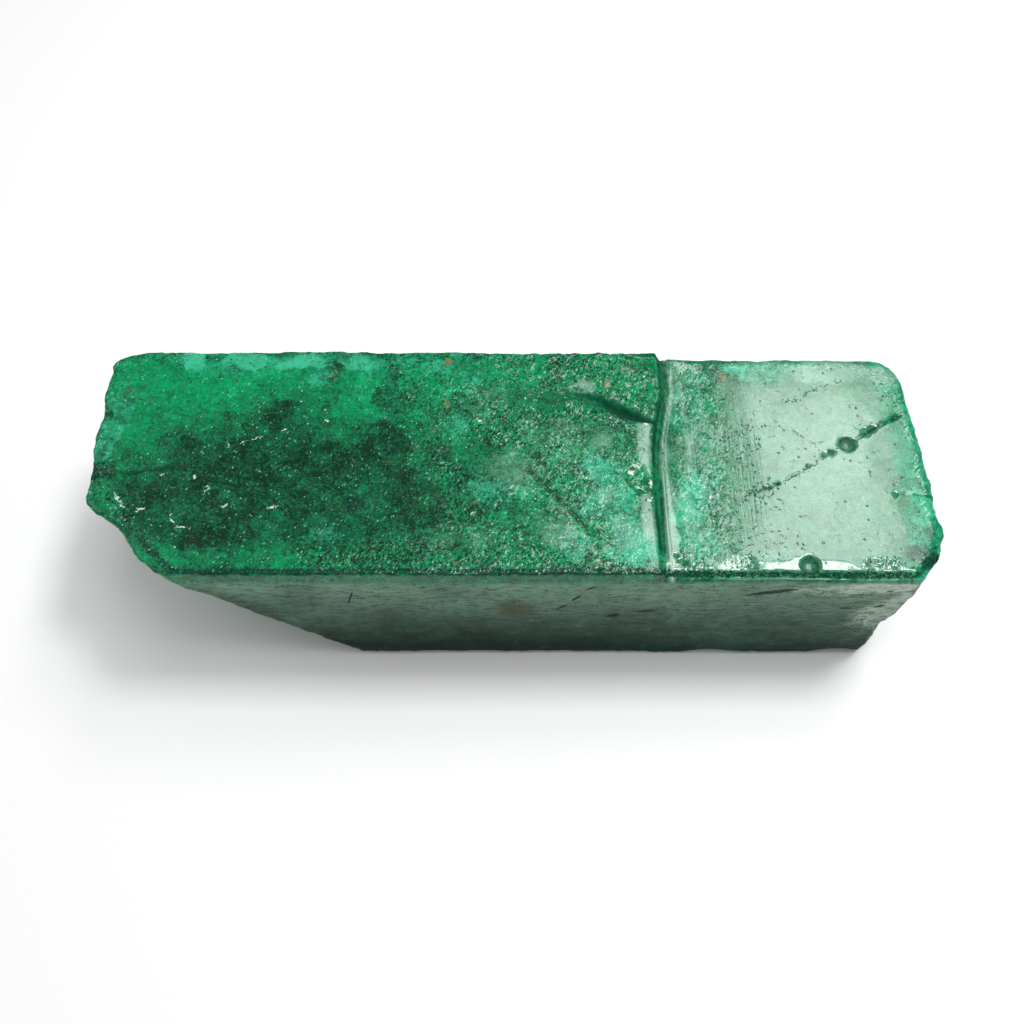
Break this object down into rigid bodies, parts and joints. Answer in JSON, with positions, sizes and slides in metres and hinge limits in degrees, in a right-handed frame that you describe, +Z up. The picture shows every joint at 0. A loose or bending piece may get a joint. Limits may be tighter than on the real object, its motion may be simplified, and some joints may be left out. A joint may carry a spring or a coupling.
{
  "type": "raw emerald crystal",
  "caption": "Rough emerald: a block-shaped broken beryl prism lying on a long face, with a slanted broken end, a stepped and pitted top face and a rough far end.",
  "frame": {"origin": "under the middle of the crystal's bounding box, on the surface that it rests on", "axes": "+X along the crystal towards its blunt, rough end; +Y away from the frosted front face; +Z up, out of the stepped top face"},
  "size_m": [0.0818, 0.0264, 0.019],
  "materials": {
    "emerald": "oiled, uneven gloss over a mottled, clouded green; frosted on the front face"
  },
  "bodies": {
    "root": {"emerald_crystal": "emerald"}
  },
  "joints": []
}
